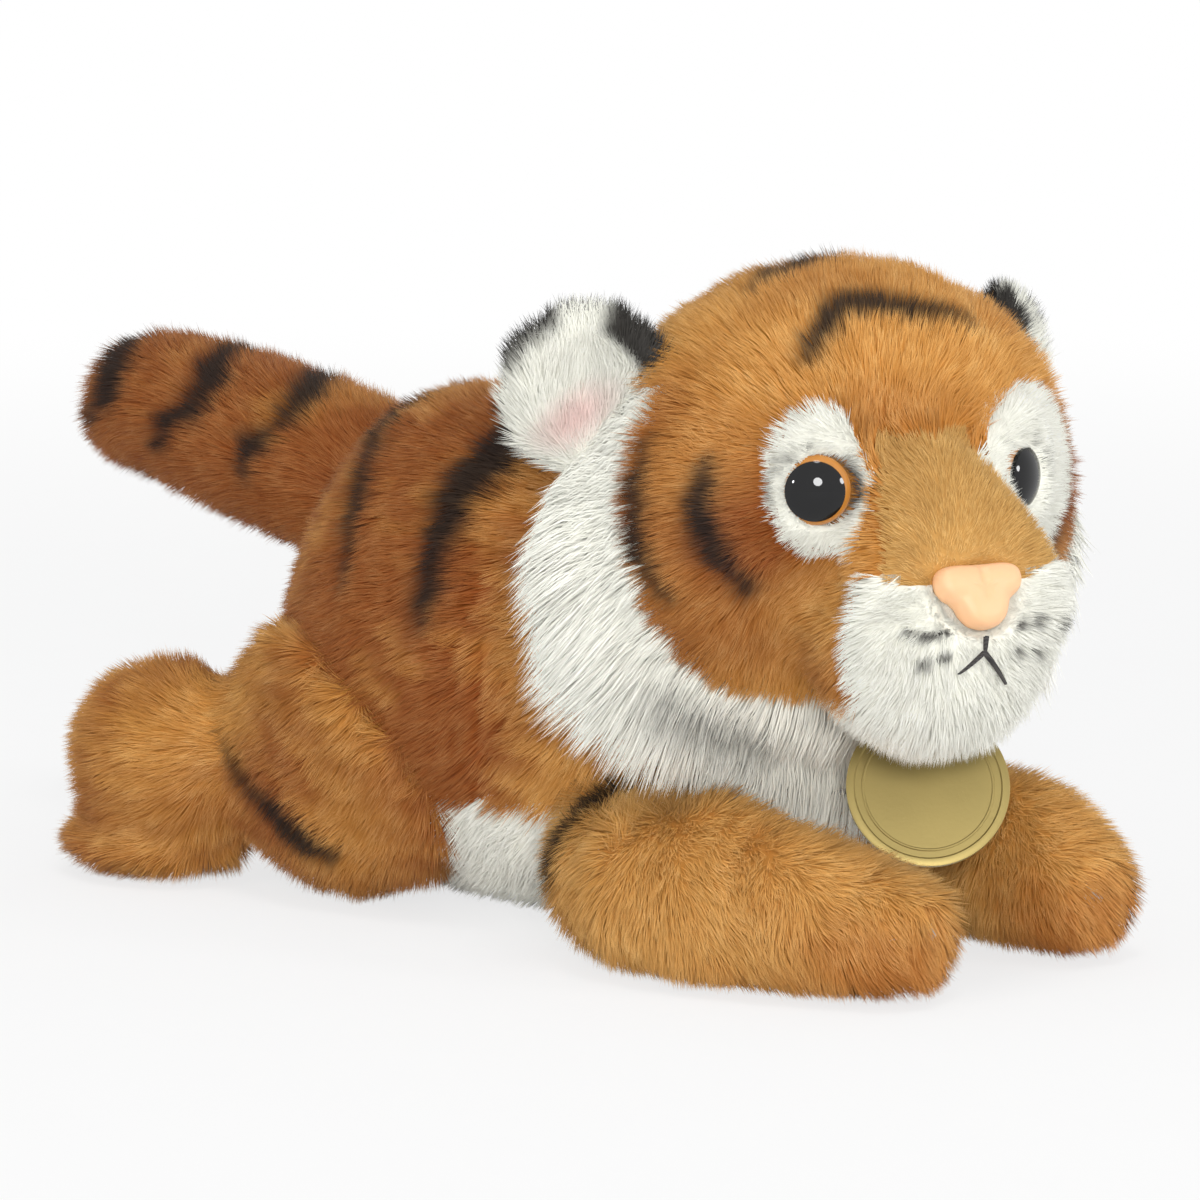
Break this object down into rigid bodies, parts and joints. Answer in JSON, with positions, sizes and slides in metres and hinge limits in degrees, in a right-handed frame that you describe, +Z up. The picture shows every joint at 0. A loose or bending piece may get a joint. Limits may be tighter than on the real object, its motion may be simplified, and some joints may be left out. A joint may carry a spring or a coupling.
{
  "type": "plush tiger",
  "caption": "Stuffed plush tiger cub lying on its belly, with jointed head, ears, legs and tail and a round hanging tag.",
  "frame": {"origin": "on the surface that the toy lies on, in the flat of its belly", "axes": "+Z up, the tiger faces -Y, its left side is at +X, the tail points to +Y"},
  "size_m": [0.0922, 0.2078, 0.1039],
  "materials": {
    "orange_plush": "long-pile plush, tiger orange with dark stripes",
    "white_plush": "long-pile plush, off-white",
    "tan_plush": "short-pile plush, light tan",
    "fibre": "polyester fibre filling",
    "pellets": "cotton pouch of plastic pellets",
    "amber_plastic": "glossy amber",
    "black_plastic": "glossy black",
    "peach_rubber": "satin peach",
    "clear_plastic": "translucent natural nylon",
    "black_thread": "black embroidery thread",
    "gold_card": "satin gold foil over card, bare"
  },
  "bodies": {
    "torso": {"torso_skin": "orange_plush", "belly_panel": "white_plush", "torso_filling": "fibre", "torso_pellet_pouch": "pellets", "tag_pin": "clear_plastic"},
    "neck": {"neck_filling": "fibre"},
    "head": {"head_skin": "orange_plush", "head_filling": "fibre", "cheek_ruff": "white_plush", "muzzle_skin": "white_plush", "muzzle_filling": "fibre", "nose_bridge": "tan_plush", "nose_button": "peach_rubber", "nose_washer": "clear_plastic", "mouth_thread": "black_thread", "right_eye_patch": "white_plush", "right_eye_lens": "amber_plastic", "right_eye_pupil": "black_plastic", "right_eye_washer": "clear_plastic", "left_eye_patch": "white_plush", "left_eye_lens": "amber_plastic", "left_eye_pupil": "black_plastic", "left_eye_washer": "clear_plastic"},
    "right_ear": {"right_ear_back": "orange_plush", "right_ear_lining": "white_plush"},
    "left_ear": {"left_ear_back": "orange_plush", "left_ear_lining": "white_plush"},
    "right_front_leg": {"right_front_leg_skin": "orange_plush", "right_front_leg_filling": "fibre"},
    "left_front_leg": {"left_front_leg_skin": "orange_plush", "left_front_leg_filling": "fibre"},
    "right_hind_leg": {"right_thigh_skin": "orange_plush", "right_thigh_filling": "fibre", "right_foot_skin": "orange_plush", "right_foot_filling": "fibre"},
    "left_hind_leg": {"left_thigh_skin": "orange_plush", "left_thigh_filling": "fibre", "left_foot_skin": "orange_plush", "left_foot_filling": "fibre"},
    "tail": {"tail_skin": "orange_plush", "tail_filling": "fibre"},
    "tag": {"tag_disc": "gold_card"}
  },
  "joints": [
    {"name": "head_nod", "type": "hinge", "parent": "torso", "child": "neck", "pos_m": [0, -0.027, 0.057], "axis": [-1, 0, 0], "range_deg": [0, 12], "stiffness_Nm_per_rad": 0.05},
    {"name": "head_turn", "type": "hinge", "parent": "neck", "child": "head", "pos_m": [0, -0.027, 0.057], "axis": [0, 0, 1], "range_deg": [-12, 12], "stiffness_Nm_per_rad": 0.05},
    {"name": "right_ear_bend", "type": "hinge", "parent": "head", "child": "right_ear", "pos_m": [-0.02972, -0.03149, 0.08286], "axis": [-0.24, 0.2761, -0.9307], "range_deg": [-15, 15], "stiffness_Nm_per_rad": 0.002},
    {"name": "left_ear_bend", "type": "hinge", "parent": "head", "child": "left_ear", "pos_m": [0.03134, -0.05016, 0.08286], "axis": [-0.3534, -0.0947, 0.9307], "range_deg": [-15, 15], "stiffness_Nm_per_rad": 0.002},
    {"name": "right_front_leg_splay", "type": "hinge", "parent": "torso", "child": "right_front_leg", "pos_m": [-0.017, -0.02, 0.0145], "axis": [0, 0, -1], "range_deg": [0, 12], "stiffness_Nm_per_rad": 0.03},
    {"name": "left_front_leg_splay", "type": "hinge", "parent": "torso", "child": "left_front_leg", "pos_m": [0.017, -0.02, 0.0145], "axis": [0, 0, 1], "range_deg": [0, 12], "stiffness_Nm_per_rad": 0.03},
    {"name": "right_hind_leg_kick", "type": "hinge", "parent": "torso", "child": "right_hind_leg", "pos_m": [-0.0225, 0.02, 0.026], "axis": [1, 0, 0], "range_deg": [0, 15], "stiffness_Nm_per_rad": 0.03},
    {"name": "left_hind_leg_kick", "type": "hinge", "parent": "torso", "child": "left_hind_leg", "pos_m": [0.0225, 0.02, 0.026], "axis": [1, 0, 0], "range_deg": [0, 15], "stiffness_Nm_per_rad": 0.03},
    {"name": "tail_wag", "type": "hinge", "parent": "torso", "child": "tail", "pos_m": [0, 0.0515, 0.062], "axis": [0, 0, 1], "range_deg": [-20, 20], "stiffness_Nm_per_rad": 0.02},
    {"name": "tag_swing", "type": "hinge", "parent": "torso", "child": "tag", "pos_m": [0.00033, -0.06617, 0.03719], "axis": [-0.7071, 0.7071, 0], "range_deg": [0, 15]}
  ]
}
